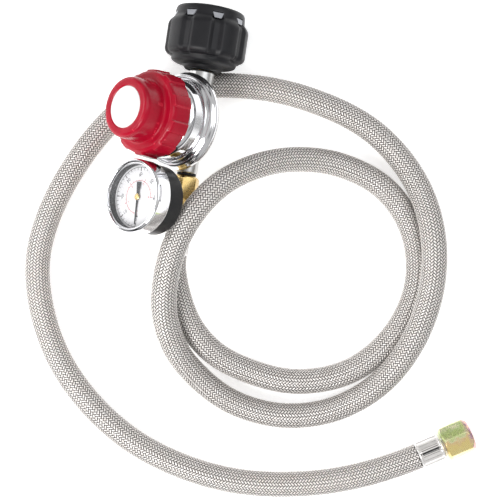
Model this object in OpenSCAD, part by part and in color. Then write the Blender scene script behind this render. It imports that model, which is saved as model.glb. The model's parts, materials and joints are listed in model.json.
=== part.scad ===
// Propane regulator with a pressure gauge and a braided hose, lying on a flat surface.
// The cylinder nut, the regulator body and the outlet tee share one axis along Y. The bonnet and
// the knob lean to -X and up, and so does the gauge. The hose starts at the tee, runs under its
// own loop, makes a turn and a half on the surface and ends in a flare nut.

/* [Regulator] */
// Outer diameter of the hand nut, which stands on the surface
nut_d = 49.2; // [48.8:0.2:50]
// Angle of the bonnet and knob axis above the surface, in degrees
bonnet_lean = 48; // [47:1:50]
// Radius of the dished body below its rim
cup_r = 28.9; // [28.4:0.1:29]
// Radius of the crimp ring that holds the bonnet
ring_r = 29.7; // [29.4:0.1:30]
// Radius of the bonnet wall
bonnet_r = 24.1; // [23.8:0.1:24.2]
// Lead of the adjusting screw for each turn
screw_lead = 1; // [0.8:0.1:1.1]
// Number of turns of the knob
knob_turns = 3; // [2:1:3]

/* [Knob] */
// Radius of the knob's wide tier at its rim
knob_rim_r = 26.1; // [25.9:0.1:26.4]
// Radius of the knob's narrow front tier
knob_front_r = 17.9; // [17:0.1:18.4]
// Number of grip ribs
rib_count = 10; // [8:1:12]

/* [Gauge] */
// Angle of the gauge axis above the surface, in degrees
gauge_lean = 51; // [50:1:52]
// Outer radius of the gauge bezel
bezel_r = 21.8; // [21.6:0.1:22]
// Distance of the gauge axis from the bonnet axis
gauge_offset = 49.4; // [49.2:0.2:49.6]

/* [Hose] */
// Outer diameter of the braided hose
hose_d = 15.6; // [15:0.1:15.8]
// Number of sides of the plain hose solid
hose_sides = 12; // [8:1:12]
// Flats of the swivel flare nut
flare_af = 19; // [18.6:0.2:19]

/* [Hidden] */
$fn = 72;

// Place of the body centre, where the port axis and the bonnet axis cross
axis_x = 13;
axis_y = 0;
axis_z = nut_d / 2;

// Stations along the bonnet axis, from the body centre. The knob's step, face and screw head
// are measured from its rim at knob_z.
cup_z = 9.8;
seal_z = 11.6;
bonnet_z = 12.8;
bonnet_top = 28.4;
knob_z = 29;
knob_step = 13.6;
knob_face = 28;
screw_head = 18;
screw_r = 4.95;
fit = 0.05;

// Stations along the port axis, from the body centre
neck_end = 32.6;
nut_back = 33;
nut_wall = 44.7;
nut_end = 69.8;
journal_r = 6.4;
nose_r = 7;
nose_start = 48;
nose_end = 62;
thread_r = 15.6;
socket_r = 9.8;

// Stations along the outlet, from the body centre towards -Y
block_end = 29.6;
tee_start = 31.2;
tee_end = 58;
hex_end = 66;
ferrule_end = 80;
tee_af = 15;
boss_r = 6.4;
seal_r = 5.8;
stem_af = 16;

// Stations along the gauge axis, from the tee axis
case_back = 20.5;
band_back = 34;
bezel_front = 44.7;
case_r = bezel_r - 1.15;
dial_z = 37.6;
plate_z = 27.7;
sector_ratio = 7;
pinion_r = 1.55;
gear_gap = 0.3;
pinion_space = pinion_r * (1 + sector_ratio) + gear_gap;
pointer_zero = -87;

// Hose end
hose_r = hose_d / 2;
end_point = [180.5, -181, 10.1];
end_turn = 31.5;
end_ferrule_len = 16.5;

// Points along the middle of the hose, from the start ferrule to the end ferrule
route = [
  [axis_x, axis_y - ferrule_end, axis_z],
  [20, -106, 23],
  [31.5, -124.5, 18],
  [48, -137.5, 12.5],
  [68.5, -144.5, 8.8],
  [96.5, -147, 8],
  [131.5, -135, 8],
  [156.5, -105.5, 8],
  [164, -73, 8],
  [156, -42.5, 8],
  [135.5, -20, 8],
  [105, -9.5, 9.5],
  [77, -11, 17],
  [53.5, -20, 29],
  [33.5, -35.5, 39],
  [19, -58, 43.4],
  [13, -76, 43.2],
  [11, -94, 41.5],
  [12.5, -113, 37],
  [20.5, -133, 28],
  [36, -150.5, 16.5],
  [61, -165, 9.2],
  [93.5, -169, 8],
  [123, -161, 9],
  [149.5, -139.5, 15],
  [165, -110, 21],
  [171, -77, 22.7],
  [167.5, -46, 22.3],
  [155.5, -17, 15],
  [126.5, 12, 8.8],
  [78, 28.5, 8.1],
  [28, 29, 8],
  [-21, 14.5, 7.9],
  [-59, -38, 8],
  [-71.5, -96.5, 8],
  [-52.5, -150, 8],
  [-4, -194.5, 8],
  [58.5, -213, 8],
  [121.5, -207, 8],
  end_point
];
route_start = [0, -1, 0];
route_end = [cos(end_turn), sin(end_turn), 0];
route_steps = 2;

// ---- curves and sweeps ----
function unit(v) = v / norm(v);
function blend_dir(p, i) =
  let (a = norm(p[i] - p[i - 1]), b = norm(p[i + 1] - p[i]))
  ((p[i] - p[i - 1]) / a * b + (p[i + 1] - p[i]) / b * a) / (a + b);
function dir_at(p, i, d0, d1) =
  i == 0 ? d0 : i == len(p) - 1 ? d1 : blend_dir(p, i);
function hermite(p, q, m, n, t) =
  p * (2 * t * t * t - 3 * t * t + 1) + m * (t * t * t - 2 * t * t + t)
  + q * (3 * t * t - 2 * t * t * t) + n * (t * t * t - t * t);
function curve(p, d0, d1, steps) = concat(
  [for (i = [0 : len(p) - 2], j = [0 : steps - 1])
    let (l = norm(p[i + 1] - p[i]))
    hermite(p[i], p[i + 1], l * dir_at(p, i, d0, d1), l * dir_at(p, i + 1, d0, d1), j / steps)],
  [p[len(p) - 1]]);
function helix(r, z0, z1, turns, steps) =
  [for (i = [0 : turns * steps])
    [r * cos(i * 360 / steps), r * sin(i * 360 / steps), z0 + (z1 - z0) * i / (turns * steps)]];
function tangents(p, d0, d1) =
  [for (i = [0 : len(p) - 1]) unit(i == 0 ? d0 : i == len(p) - 1 ? d1 : p[i + 1] - p[i - 1])];

// A round bar of radius r along the points p, with a ring of n corners at each point
module sweep(p, r, n, d0, d1) {
  t = tangents(p, d0, d1);
  last = len(p) - 1;
  rings = [for (i = [0 : last])
    let (side = unit(cross([0, 0, 1], t[i])), up = cross(t[i], side))
    for (k = [0 : n - 1])
      p[i] + r * (cos(k * 360 / n) * side + sin(k * 360 / n) * up)];
  walls = [for (i = [0 : last - 1], k = [0 : n - 1])
    let (a = i * n + k, b = i * n + (k + 1) % n)
    for (f = [[a, a + n, b], [b, a + n, b + n]]) f];
  start_cap = [for (k = [1 : n - 2]) [0, k, k + 1]];
  end_cap = [for (k = [1 : n - 2]) [last * n, last * n + k + 1, last * n + k]];
  polyhedron(points = rings, faces = concat(walls, start_cap, end_cap), convexity = 8);
}

module spring(r, wire, z0, z1, turns) {
  p = helix(r, z0 + wire, z1 - wire, turns, 20);
  sweep(p, wire, 6, p[1] - p[0], p[len(p) - 1] - p[len(p) - 2]);
}

// ---- places ----
module along_bonnet() {
  translate([axis_x, axis_y, axis_z]) rotate([0, bonnet_lean - 90, 0]) children();
}
module along_inlet() {
  translate([axis_x, axis_y, axis_z]) rotate([-90, 0, 0]) children();
}
module along_outlet() {
  translate([axis_x, axis_y, axis_z]) rotate([90, 0, 0]) children();
}
module along_gauge() {
  translate([axis_x, axis_y - gauge_offset, axis_z]) rotate([0, gauge_lean - 90, 0]) children();
}
module along_hose_end() {
  translate(end_point) rotate([0, 0, end_turn]) rotate([0, 90, 0]) children();
}

// ---- plain shapes ----
module rod(r, z0, z1) {
  translate([0, 0, z0]) cylinder(r = r, h = z1 - z0);
}
module pipe(r, hole, z0, z1) {
  difference() {
    rod(r, z0, z1);
    rod(hole, z0 - 1, z1 + 1);
  }
}
module hex_bar(af, z0, z1, turn = 0) {
  rotate([0, 0, turn]) translate([0, 0, z0]) cylinder(r = af / sqrt(3), h = z1 - z0, $fn = 6);
}
module turned(points) {
  rotate_extrude() polygon(points);
}

// ---- regulator body ----
module valve_body() {
  color("silver") difference() {
    union() {
      along_bonnet() turned([
        [0, -11], [9, -11], [10, -10], [10.6, 0.5], [16, 1.6], [22, 3.8], [26.4, 6.4],
        [cup_r, 9], [cup_r, cup_z], [28.1, cup_z], [28.1, seal_z], [0, seal_z]]);
      along_inlet() rod(10, 0, 15.4);
      along_inlet() rod(7.8, 15, neck_end);
      along_outlet() rod(boss_r, 0, block_end);
    }
    along_bonnet() rod(22, 8.4, seal_z + 1);
    along_bonnet() rod(4.05, 1.8, 9);
    along_bonnet() rod(5.5, -12, 1.8);
    along_inlet() rod(journal_r, 14, neck_end + 1);
    along_inlet() rod(3, 3, 15);
    along_outlet() rod(3.4, 14, block_end + 1);
    along_bonnet() translate([0, -15.6, 0]) rod(2.6, 0, 9);
  }
}

module valve_plug() {
  color("darkgoldenrod") along_bonnet() difference() {
    rod(5.5, -11.8, -6.4);
    hex_bar(5, -13, -9);
  }
}

module valve_spring() {
  color("gainsboro") along_bonnet() spring(3, 0.35, -6.4, -2.2, 4);
}

module valve_poppet() {
  color("goldenrod") along_bonnet() {
    rod(4.6, -2.1, 1.5);
    rod(0.9, 1.4, 11.5);
  }
}

module valve_orifice() {
  color("gold") along_bonnet() pipe(4.05, 1.5, 1.8, 6);
}

module diaphragm() {
  color("dimgray") along_bonnet() pipe(27.4, 2, seal_z, bonnet_z);
}

module diaphragm_plate() {
  color("lightgray") along_bonnet() {
    rod(14, bonnet_z + 0.02, 14);
    rod(5.4, 13.9, 15.4);
    rod(1.9, 11.6, bonnet_z + 0.03);
  }
}

module bonnet() {
  color("whitesmoke") along_bonnet() difference() {
    union() {
      turned([
        [0, bonnet_z], [27.4, bonnet_z], [27.4, 14.2], [25.4, 14.2], [bonnet_r, 15.2],
        [bonnet_r, 25], [23.4, 26.7], [21.6, 27.9], [19, bonnet_top], [0, bonnet_top]]);
    }
    rod(22.6, bonnet_z - 1, 24.4);
    rod(20, 24, 26.6);
    rod(screw_r + fit, 20, 30);
    for (a = [60 : 120 : 300])
      rotate([0, 0, a]) translate([13, 0, 0]) rod(1.5, 25, 30);
  }
}

module crimp_ring() {
  color("silver") along_bonnet() turned([
    [28.1, cup_z + 0.05], [ring_r - 0.4, cup_z + 0.05], [ring_r, cup_z + 0.6],
    [ring_r, 12.6], [ring_r - 0.5, 13.2], [ring_r - 0.7, 13.4], [28.4, 14.6],
    [27.6, 15.2], [26.6, 15.3], [26, 14.9], [26, 14.25], [28.1, 14.25]]);
}

module main_spring() {
  color("gray") along_bonnet() spring(8, 0.6, 14, 22.4, 3);
}

// ---- adjuster ----
module spring_button() {
  color("darkgray") along_bonnet() {
    rod(9.4, 22.4, 24.2);
    rod(4.4, 20.6, 22.5);
  }
}

module adjusting_screw() {
  color("gainsboro") along_bonnet() {
    rod(screw_r, 24.22, knob_z + screw_head);
    rod(6.4, knob_z + screw_head, knob_z + screw_head + 3);
  }
}

// Half-width of a grip rib, and how far it stands out
rib_half = 3.6;
rib_rise = 0.9;
module control_knob() {
  body_r = knob_rim_r - rib_rise;
  color("crimson") along_bonnet() translate([0, 0, knob_z]) difference() {
    union() {
      turned([
        [0, 0], [body_r - 0.3, 0], [body_r, 0.4], [24.4, 11.6], [23.9, 12.9],
        [22.9, knob_step], [knob_front_r + 1.2, knob_step], [knob_front_r + 0.5, 14.2],
        [knob_front_r + 0.3, 15], [knob_front_r, 26], [knob_front_r - 0.7, 27.5],
        [knob_front_r - 1.9, knob_face], [0, knob_face]]);
      intersection() {
        turned([[0, 0], [knob_rim_r, 0], [24.7, 12.4], [0, 12.4]]);
        for (i = [0 : rib_count - 1])
          rotate([0, 0, (i + 0.5) * 360 / rib_count])
            translate([12, -rib_half, 0]) cube([18, 2 * rib_half, 13]);
      }
    }
    rod(bonnet_r + 0.45, -1, 6.4);
    difference() {
      rod(20.5, 6, 10.6);
      rod(9, 5, 11);
    }
    difference() {
      rod(14.8, 10, 24);
      rod(9, 9, 25);
    }
    rod(screw_r, 0, screw_head + 0.5);
    rod(6.4, screw_head, screw_head + 3.02);
    rod(12.4, knob_face - 0.5, knob_face + 1);
  }
}

module knob_label() {
  color("white") along_bonnet() rod(12.2, knob_z + knob_face - 0.5, knob_z + knob_face - 0.1);
}

// ---- inlet ----
module inlet_nipple() {
  color("khaki") along_inlet() difference() {
    turned([
      [0, 14], [journal_r, 14], [journal_r, nut_wall + 0.3], [9.4, nut_wall + 0.3],
      [9.4, nose_start - 0.3], [nose_r, nose_start - 0.2], [nose_r, nose_end - 2.4],
      [nose_r - 0.8, nose_end - 0.8], [nose_r - 2.2, nose_end], [0, nose_end]]);
    rod(3, 13, nose_end + 1);
    rod(4.6, 46, nose_end + 1);
  }
}

module excess_flow_spring() {
  color("gainsboro") along_inlet() spring(3.6, 0.3, 46, 51.4, 5);
}

module excess_flow_poppet() {
  color("goldenrod") along_inlet() difference() {
    turned([[0, 51.5], [4.2, 51.5], [4.2, 54], [1.6, 57], [0, 57]]);
    for (a = [0 : 120 : 240])
      rotate([0, 0, a]) translate([4.4, 0, 0]) rod(1, 50, 58);
  }
}

module poppet_cage() {
  color("peru") along_inlet() pipe(4.6, 2.6, 59, 61.4);
}

module thermal_bushing() {
  color("darkslategray") along_inlet() pipe(thread_r - 0.02, socket_r, nut_wall + 0.1, 48.6);
}

// ---- hand nut ----
lobe_count = 8;
lobe_turn = -7;
module hand_nut() {
  nut_r = nut_d / 2;
  color([0.17, 0.17, 0.18]) along_inlet() difference() {
    turned([
      [0, nut_back], [10.6, nut_back], [11.6, nut_back + 0.8], [12.4, 35.6], [17.6, 36.4],
      [19.6, 37.4], [20.2, 40], [nut_r - 1.2, 41], [nut_r, 42.6], [nut_r, 59.4],
      [nut_r - 1, 61], [21.4, 63.6], [20.9, 68.6], [20, nut_end], [0, nut_end]]);
    rod(journal_r + fit, nut_back - 1, nut_wall + 1);
    rod(thread_r, nut_wall, nut_end + 1);
    translate([0, 0, nut_end - 1.5]) cylinder(r1 = thread_r, r2 = thread_r + 1.6, h = 1.6);
    for (i = [0 : lobe_count - 1])
      rotate([0, 0, (i + 0.5) * 360 / lobe_count + lobe_turn]) {
        translate([nut_r + 4.4, 0, 0]) rod(6, 39, 64.5);
        translate([20.4, -3.4, 61.6]) cube([6, 6.8, 4.6]);
      }
  }
}

// ---- outlet tee and gauge ----
module tee_seal() {
  color("black") along_outlet() pipe(seal_r, 4.5, block_end, tee_start);
}

module outlet_tee() {
  color("goldenrod") difference() {
    union() {
      along_outlet() intersection() {
        hex_bar(tee_af, tee_start, tee_end, 90 - gauge_lean);
        turned([[0, tee_start], [seal_r, tee_start], [tee_af * 0.6, tee_start + 2],
          [tee_af * 0.6, tee_end], [0, tee_end]]);
      }
      along_outlet() rod(4.5, block_end, tee_start + 1);
      along_gauge() rod(7, 0, 11);
    }
    along_outlet() rod(2.8, block_end - 1, tee_end + 1);
    along_outlet() rod(5.2, 52, tee_end + 1);
    along_gauge() rod(2.6, 0, 12);
    along_gauge() rod(4.6, 7, 12);
  }
}

module gauge_socket() {
  color("darkgoldenrod") along_gauge() difference() {
    union() {
      rod(4.6, 7.2, 11.2);
      hex_bar(12, 11.2, 17, 30);
      rod(4.8, 16.5, plate_z - 0.05);
    }
    rod(1.6, 6, 26);
  }
}

module gauge_case() {
  color([0.2, 0.2, 0.21]) along_gauge() difference() {
    turned([[0, case_back], [case_r - 2, case_back], [case_r - 0.8, case_back + 0.7],
      [case_r, case_back + 2], [case_r, 41.4], [0, 41.4]]);
    rod(case_r - 1.2, case_back + 1.8, 42);
    rod(4.82, case_back - 1, case_back + 2);
  }
}

module gauge_bezel() {
  color("silver") along_gauge() difference() {
    turned([[case_r + 0.02, band_back], [bezel_r, band_back], [bezel_r, bezel_front - 1.4],
      [bezel_r - 0.5, bezel_front - 0.4], [bezel_r - 1.5, bezel_front],
      [bezel_r - 2.6, bezel_front - 0.4], [bezel_r - 3.1, 42.95], [case_r + 0.02, 42.95]]);
    rotate([0, 0, 10]) translate([case_r - 1, -4.7, 42]) cube([4, 9.4, 1]);
  }
}

module gauge_lens() {
  color([0.9, 0.95, 1, 0.3]) along_gauge() rod(case_r, 41.42, 42.9);
}

module gauge_dial() {
  color("white") along_gauge() pipe(case_r - 1.4, 1.3, dial_z, dial_z + 0.6);
}

module zero_pin() {
  color("black") along_gauge() rotate([0, 0, pointer_zero + 4.5]) translate([11.5, 0, 0])
    rod(0.35, dial_z + 0.6, dial_z + 2.2);
}

module gauge_pointer() {
  color("black") along_gauge() rotate([0, 0, pointer_zero]) translate([0, 0, dial_z + 1.2])
    difference() {
      union() {
        linear_extrude(0.3) polygon([[-8.8, -1.7], [-1, -0.8], [1, -0.7], [16, -0.3],
          [16, 0.3], [1, 0.7], [-1, 0.8], [-8.8, 1.7]]);
        rod(1.9, -0.05, 0.35);
      }
      rod(0.6, -1, 2);
    }
}

module pointer_hub() {
  color("goldenrod") along_gauge() {
    rod(1.7, dial_z + 1.56, dial_z + 2.1);
    rod(0.6, dial_z + 0.9, dial_z + 1.6);
  }
}

module pointer_pinion() {
  color("darkgoldenrod") along_gauge() {
    rod(0.6, 28.2, dial_z + 0.88);
    rod(pinion_r, 30.4, 33.4);
  }
}

module sector_gear() {
  sector_r = pinion_r * sector_ratio;
  color("khaki") along_gauge() translate([0, pinion_space, 0]) {
    intersection() {
      rod(sector_r, 31, 32.4);
      linear_extrude(40) polygon([[-2, 3], [2, 3], [9, -14], [-15, -14]]);
    }
    rod(1, 28.2, 35);
    rod(2.6, 31, 32.4);
  }
}

module movement_plate() {
  color("gold") along_gauge() difference() {
    union() {
      translate([-6, -7, plate_z]) cube([12, 23, 1.5]);
      for (side = [-4.4, 4.4])
        translate([side, -5, 0]) rod(0.9, plate_z + 1, dial_z - 0.02);
    }
    rod(0.65, 25, 31);
    translate([0, pinion_space, 0]) rod(1.05, 25, 31);
  }
}

module bourdon_tube() {
  color("peru") along_gauge() {
    rotate([0, 0, -60]) rotate_extrude(angle = 250) translate([16.4, 30]) square([1.2, 4]);
    rotate([0, 0, -60]) {
      translate([4.9, -1, 25.4]) cube([12.7, 2, 2]);
      translate([16.4, -1, 25.4]) cube([1.2, 2, 6]);
    }
  }
}

// ---- hose and its ends ----
module start_stem() {
  color("gainsboro") along_outlet() difference() {
    union() {
      rod(5.15, 52.5, tee_end + 0.5);
      hex_bar(stem_af, tee_end + 0.05, hex_end);
      rod(4.9, hex_end - 0.5, ferrule_end);
    }
    rod(2.6, 50, ferrule_end + 1);
  }
}

module crimped_ferrule(length) {
  difference() {
    turned([[4.92, 0], [7.6, 0], [8.1, 0.6], [8.1, length - 0.8], [7.8, length], [4.92, length]]);
    for (i = [0 : 11])
      rotate([0, 0, i * 30]) translate([9.1, 0, 2]) rod(1.3, 0, length - 4.6);
  }
}

module start_ferrule() {
  color("silver") along_outlet() translate([0, 0, hex_end + 0.05])
    crimped_ferrule(ferrule_end - hex_end - 0.05);
}

module hose() {
  color([0.78, 0.76, 0.73])
    sweep(curve(route, route_start, route_end, route_steps), hose_r, hose_sides,
      route_start, route_end);
}

module end_ferrule() {
  color("silver") along_hose_end() crimped_ferrule(end_ferrule_len);
}

stem_nose = 25.5;
nut_near = 17.3;
nut_far = 35.3;
nut_roll = 6;
flare_thread_r = 7.2;
module flare_stem() {
  color("lightgray") along_hose_end() difference() {
    turned([[0, 0], [4.9, 0], [4.9, 21.8], [6.8, 23.6], [6.8, 23.9], [5.4, stem_nose],
      [0, stem_nose]]);
    rod(2.6, -1, stem_nose + 1);
  }
}

module flare_nut() {
  flat_r = flare_af / 2;
  color([0.78, 0.66, 0.3]) along_hose_end() difference() {
    intersection() {
      hex_bar(flare_af, nut_near, nut_far, 30 + nut_roll);
      turned([[0, nut_near], [flat_r - 0.2, nut_near], [flat_r + 1.6, nut_near + 1.3],
        [flat_r + 1.6, nut_far - 3], [flat_r - 0.8, nut_far], [0, nut_far]]);
    }
    rod(4.95, nut_near - 1, 22);
    translate([0, 0, 21.55]) cylinder(r1 = 4.95, r2 = flare_thread_r, h = 2.25);
    rod(7.7, 23.8, 25.8);
    rod(flare_thread_r, 25, nut_far + 1);
    translate([0, 0, nut_far - 0.7]) cylinder(r1 = flare_thread_r, r2 = 8, h = 0.8);
  }
}

valve_body();
valve_plug();
valve_spring();
valve_poppet();
valve_orifice();
diaphragm();
diaphragm_plate();
bonnet();
crimp_ring();
main_spring();
spring_button();
adjusting_screw();
control_knob();
knob_label();
inlet_nipple();
excess_flow_poppet();
excess_flow_spring();
poppet_cage();
thermal_bushing();
hand_nut();
tee_seal();
outlet_tee();
gauge_socket();
gauge_case();
gauge_bezel();
gauge_lens();
gauge_dial();
zero_pin();
gauge_pointer();
pointer_hub();
pointer_pinion();
sector_gear();
movement_plate();
bourdon_tube();
start_stem();
start_ferrule();
hose();
end_ferrule();
flare_stem();
flare_nut();
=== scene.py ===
import json
import math

import bmesh
import bpy
import numpy as np
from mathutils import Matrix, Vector


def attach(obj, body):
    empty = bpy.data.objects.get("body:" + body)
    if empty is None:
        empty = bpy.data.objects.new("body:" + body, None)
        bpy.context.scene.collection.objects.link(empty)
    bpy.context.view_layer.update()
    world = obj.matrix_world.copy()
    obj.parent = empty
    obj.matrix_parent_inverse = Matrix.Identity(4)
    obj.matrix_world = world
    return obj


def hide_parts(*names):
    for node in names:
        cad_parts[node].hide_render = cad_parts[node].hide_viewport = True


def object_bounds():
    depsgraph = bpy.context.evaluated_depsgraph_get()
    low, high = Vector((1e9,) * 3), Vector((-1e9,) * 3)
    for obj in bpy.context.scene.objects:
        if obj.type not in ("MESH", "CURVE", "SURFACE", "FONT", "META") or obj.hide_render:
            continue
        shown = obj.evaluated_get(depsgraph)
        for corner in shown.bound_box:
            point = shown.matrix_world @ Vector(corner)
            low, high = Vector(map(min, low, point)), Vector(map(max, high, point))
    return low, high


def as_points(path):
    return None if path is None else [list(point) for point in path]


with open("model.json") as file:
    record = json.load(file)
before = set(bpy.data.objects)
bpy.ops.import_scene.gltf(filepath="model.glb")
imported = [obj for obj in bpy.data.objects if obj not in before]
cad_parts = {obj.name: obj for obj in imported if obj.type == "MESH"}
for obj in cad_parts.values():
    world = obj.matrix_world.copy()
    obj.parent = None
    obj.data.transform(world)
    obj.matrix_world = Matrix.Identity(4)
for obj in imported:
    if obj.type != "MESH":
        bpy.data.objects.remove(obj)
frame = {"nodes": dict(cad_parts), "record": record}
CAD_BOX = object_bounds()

MM = 0.001
TAU = 2 * math.pi
rad = math.radians


def unit(v):
    v = np.asarray(v, float)
    return v / np.linalg.norm(v)


# ---------------------------------------------------------------- camera, floor and light
CAMERA_ABOVE = (0.0523, -0.0710, 0.700)
CAMERA_ROLL = rad(8.6)

camera = bpy.data.objects.new("camera", bpy.data.cameras.new("camera"))
camera.data.lens = 80
camera.data.sensor_width = 36
camera.data.clip_start = 0.01
camera.location = CAMERA_ABOVE
camera.rotation_euler = (0, 0, CAMERA_ROLL)
bpy.context.scene.collection.objects.link(camera)
bpy.context.scene.camera = camera
bpy.context.scene.view_settings.view_transform = "Standard"


def area_light(name, at, size, watts, colour=(1, 1, 1)):
    """A square soft light at a point, aimed at the middle of the object."""
    light = bpy.data.lights.new(name, "AREA")
    light.shape = "SQUARE"
    light.size = size
    light.energy = watts
    light.color = colour
    obj = bpy.data.objects.new(name, light)
    obj.location = at
    aim = Vector((CAMERA_ABOVE[0], CAMERA_ABOVE[1], 0)) - Vector(at)
    obj.rotation_euler = aim.to_track_quat("-Z", "Y").to_euler()
    bpy.context.scene.collection.objects.link(obj)


area_light("key_light", (-0.30, -0.55, 0.75), 0.45, 6.5)
area_light("fill_light", (0.55, 0.30, 0.80), 0.70, 2.4, (0.95, 0.97, 1.0))
area_light("left_strip", (-0.75, 0.05, 0.35), 0.35, 1.6)


# ---------------------------------------------------------------- the hose's route
AXIS_X, AXIS_Y, AXIS_Z = 13.0, 0.0, 24.6
GAUGE_OFFSET = 49.4
FERRULE_END = 80.0
END_POINT = (180.5, -181, 10.1)
END_TURN = rad(31.5)
ROUTE = [
    (AXIS_X, AXIS_Y - FERRULE_END, AXIS_Z), (20, -106, 23), (31.5, -124.5, 18),
    (48, -137.5, 12.5), (68.5, -144.5, 8.8), (96.5, -147, 8), (131.5, -135, 8),
    (156.5, -105.5, 8), (164, -73, 8), (156, -42.5, 8), (135.5, -20, 8), (105, -9.5, 9.5),
    (77, -11, 17), (53.5, -20, 29), (33.5, -35.5, 39), (19, -58, 43.4), (13, -76, 43.2),
    (11, -94, 41.5), (12.5, -113, 37), (20.5, -133, 28), (36, -150.5, 16.5), (61, -165, 9.2),
    (93.5, -169, 8), (123, -161, 9), (149.5, -139.5, 15), (165, -110, 21), (171, -77, 22.7),
    (167.5, -46, 22.3), (155.5, -17, 15), (126.5, 12, 8.8), (78, 28.5, 8.1), (28, 29, 8),
    (-21, 14.5, 7.9), (-59, -38, 8), (-71.5, -96.5, 8), (-52.5, -150, 8), (-4, -194.5, 8),
    (58.5, -213, 8), (121.5, -207, 8), END_POINT,
]
ROUTE_START = np.array([0.0, -1.0, 0.0])
ROUTE_END = np.array([math.cos(END_TURN), math.sin(END_TURN), 0.0])


def curve(points, start, end, steps):
    """Points along one smooth line through the route's points: Hermite spans, as in the CAD."""
    p = np.array(points, float)
    span = np.linalg.norm(np.diff(p, axis=0), axis=1)
    way = np.diff(p, axis=0) / span[:, None]
    at = [start]
    for i in range(1, len(p) - 1):
        at.append((way[i - 1] * span[i] + way[i] * span[i - 1]) / (span[i - 1] + span[i]))
    at.append(end)
    out = []
    for i in range(len(p) - 1):
        for t in np.arange(steps) / steps:
            out.append(
                p[i] * (2 * t**3 - 3 * t**2 + 1) + span[i] * at[i] * (t**3 - 2 * t**2 + t)
                + p[i + 1] * (3 * t**2 - 2 * t**3) + span[i] * at[i + 1] * (t**3 - t**2))
    out.append(p[-1])
    return np.array(out)


class Line:
    """A line in space with a distance along it and a frame that doesn't twist."""

    def __init__(self, points, step):
        length = np.r_[0, np.cumsum(np.linalg.norm(np.diff(points, axis=0), axis=1))]
        self.length = length[-1]
        count = int(round(self.length / step)) + 1
        self.s = np.linspace(0, self.length, count)
        self.p = np.stack([np.interp(self.s, length, points[:, k]) for k in range(3)], 1)
        way = np.gradient(self.p, axis=0)
        self.way = way / np.linalg.norm(way, axis=1)[:, None]
        side = [unit(np.cross((0, 0, 1), self.way[0]))]
        for i in range(1, count):
            v = side[-1] - np.dot(side[-1], self.way[i]) * self.way[i]
            side.append(unit(v))
        self.side = np.array(side)
        self.up = np.cross(self.way, self.side)

    def at(self, s, angle, radius):
        """Points at the distances s, turned by angle about the line and radius away from it."""
        def mix(a):
            return np.stack([np.interp(s, self.s, a[:, k]) for k in range(3)], -1)
        return (mix(self.p) + radius[..., None] * (
            np.cos(angle)[..., None] * mix(self.side) + np.sin(angle)[..., None] * mix(self.up)))


LINE = Line(curve(ROUTE, ROUTE_START, ROUTE_END, 24), 1.0)


# ---------------------------------------------------------------- mesh helpers
def place(origin, z_dir, x_dir):
    """An origin in millimetres with the directions of a part's own x, y and z."""
    z = unit(z_dir)
    y = unit(np.cross(z, x_dir))
    return np.array(origin, float), np.array([np.cross(y, z), y, z])


BODY = (AXIS_X, AXIS_Y, AXIS_Z)
LEAN, TILT = rad(48), rad(51)
BONNET = place(BODY, (-math.cos(LEAN), 0, math.sin(LEAN)), (math.sin(LEAN), 0, math.cos(LEAN)))
INLET = place(BODY, (0, 1, 0), (1, 0, 0))
OUTLET = place(BODY, (0, -1, 0), (1, 0, 0))
GAUGE = place((AXIS_X, AXIS_Y - GAUGE_OFFSET, AXIS_Z), (-math.cos(TILT), 0, math.sin(TILT)),
              (math.sin(TILT), 0, math.cos(TILT)))
HOSE_END = place(END_POINT, ROUTE_END, (0, 0, -1))
WORLD = (np.zeros(3), np.eye(3))


def rounded(points, radius=0.4, steps=4, closed=False):
    """The outline with each corner rounded. A third number on a point is that corner's radius."""
    out = []
    count = len(points)
    for i, point in enumerate(points):
        p = np.array(point[:2], float)
        r = point[2] if len(point) > 2 else radius
        if not closed and i in (0, count - 1) or r <= 0:
            out.append(tuple(p))
            continue
        a = np.array(points[i - 1][:2], float) - p
        b = np.array(points[(i + 1) % count][:2], float) - p
        la, lb = np.linalg.norm(a), np.linalg.norm(b)
        cut = min(r, 0.45 * la, 0.45 * lb)
        for t in np.linspace(0, 1, steps + 1):
            out.append(tuple(p + a / la * cut * (1 - t) ** 2 + b / lb * cut * t**2))
    return out


def dense(points, step):
    """The outline with extra points, so that none are further apart than step."""
    out = [points[0]]
    for a, b in zip(points, points[1:]):
        n = max(1, math.ceil(math.dist(a, b) / step))
        out += [tuple(np.array(a) + (np.array(b) - np.array(a)) * k / n) for k in range(1, n + 1)]
    return out


def lathe(outline, steps=96, shape=None, closed=False):
    """A turned form. shape(angle, r, z) gives the changed r and z of every point."""
    o = np.array(outline, float)
    angle = np.arange(steps) * TAU / steps
    r = np.repeat(o[:, :1], steps, 1)
    z = np.repeat(o[:, 1:2], steps, 1)
    a = np.repeat(angle[None, :], len(o), 0)
    if shape:
        r, z = shape(a, r, z)
    verts = np.stack([r * np.cos(a), r * np.sin(a), z], -1).reshape(-1, 3)
    rings = len(o)
    faces = []
    for i in range(rings if closed else rings - 1):
        j = (i + 1) % rings
        for k in range(steps):
            n = (k + 1) % steps
            faces.append((i * steps + k, i * steps + n, j * steps + n, j * steps + k))
    return verts, faces


def flats(angle, count, across, turn):
    """The distance of a regular polygon's side from its middle at each angle."""
    step = TAU / count
    return across / 2 / np.cos((angle - turn) % step - step / 2)


def hexed(across, turn):
    """A shape for lathe: the turned form cut to a hexagonal bar."""
    return lambda a, r, z: (np.minimum(r, flats(a, 6, across, turn)), z)


def smooth_step(x, low, high):
    t = np.clip((x - low) / (high - low), 0, 1)
    return t * t * (3 - 2 * t)


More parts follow.
